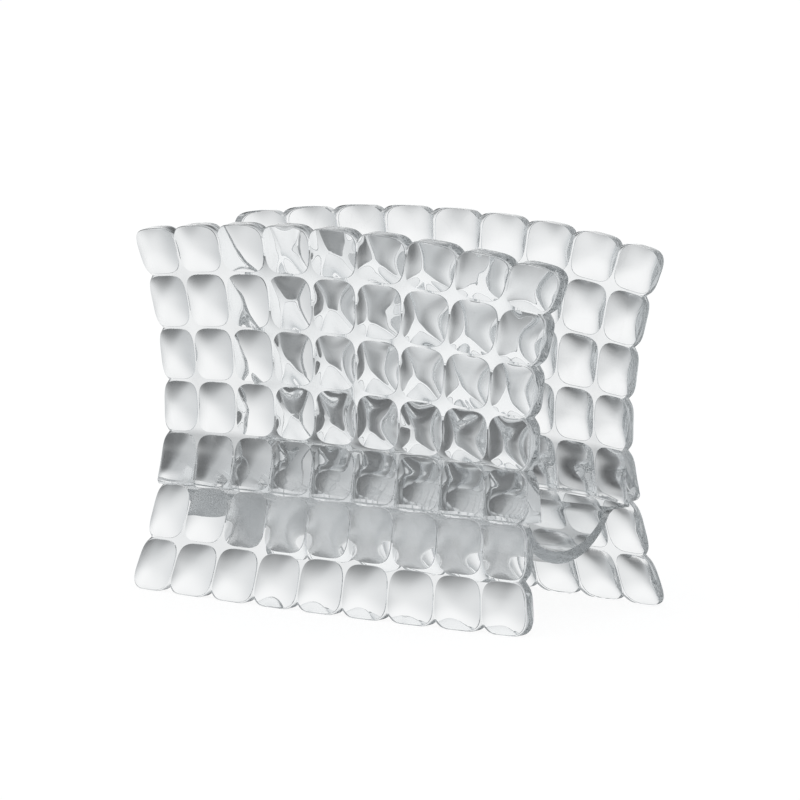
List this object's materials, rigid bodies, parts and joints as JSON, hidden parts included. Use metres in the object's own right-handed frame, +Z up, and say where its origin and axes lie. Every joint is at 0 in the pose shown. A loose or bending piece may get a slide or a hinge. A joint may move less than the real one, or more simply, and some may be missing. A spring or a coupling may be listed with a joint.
{
  "type": "napkin holder",
  "caption": "Clear acrylic napkin holder: two bowed, crowned panels quilted with domed pads, on flared legs, joined by a U-shaped trough.",
  "frame": {"origin": "on the table, under the middle of the holder", "axes": "+X along the holder, front panel faces -Y, +Z up"},
  "size_m": [0.168, 0.084, 0.1208],
  "materials": {
    "clear_acrylic": "clear, polished"
  },
  "bodies": {
    "root": {"front_panel": "clear_acrylic", "rear_panel": "clear_acrylic", "trough": "clear_acrylic"}
  },
  "joints": []
}
